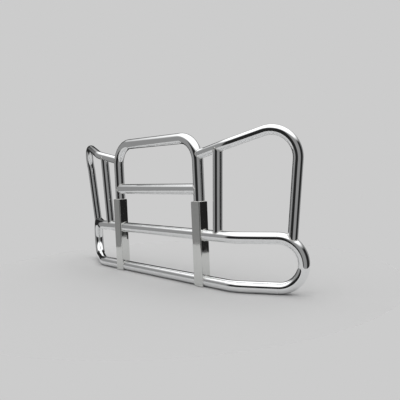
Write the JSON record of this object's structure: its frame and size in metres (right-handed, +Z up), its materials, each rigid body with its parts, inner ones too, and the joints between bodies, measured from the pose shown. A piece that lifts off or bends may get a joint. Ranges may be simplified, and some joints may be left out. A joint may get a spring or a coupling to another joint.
{
  "type": "front grille guard",
  "caption": "Heavy truck front grille guard: a welded frame of polished stainless tube with a centre hoop, two rails, raised wings and two flat uprights with mounting plates.",
  "frame": {"origin": "centre of the guard's base: midway across, midway front to back, at the underside of the bottom rail", "axes": "+Z up, front of the guard towards -Y, +X to the right seen from the front; the guard is symmetrical about the plane x = 0"},
  "size_m": [2.4096, 0.2834, 1.0562],
  "materials": {
    "polished_tube": "mirror-polished stainless steel tube, ground and buffed welds",
    "polished_plate": "polished stainless sheet, slightly hazy, with fine vertical polishing lines",
    "milled_plate": "plain mill-finish stainless plate",
    "zinc_nut": "zinc-plated steel"
  },
  "bodies": {
    "root": {"hoop": "polished_tube", "crossbar": "polished_tube", "mid_rail": "polished_tube", "bottom_rail": "polished_tube", "loop_end_right": "polished_tube", "wing_tube_right": "polished_tube", "wing_post_right": "polished_tube", "wing_strut_right": "polished_tube", "upright_channel_right": "polished_plate", "upright_cap_right": "polished_plate", "mount_plate_right": "milled_plate", "weld_nut_right_1": "zinc_nut", "weld_nut_right_2": "zinc_nut", "weld_nut_right_3": "zinc_nut", "weld_nut_right_4": "zinc_nut", "loop_end_left": "polished_tube", "wing_tube_left": "polished_tube", "wing_post_left": "polished_tube", "wing_strut_left": "polished_tube", "upright_channel_left": "polished_plate", "upright_cap_left": "polished_plate", "mount_plate_left": "milled_plate", "weld_nut_left_1": "zinc_nut", "weld_nut_left_2": "zinc_nut", "weld_nut_left_3": "zinc_nut", "weld_nut_left_4": "zinc_nut"}
  },
  "joints": []
}
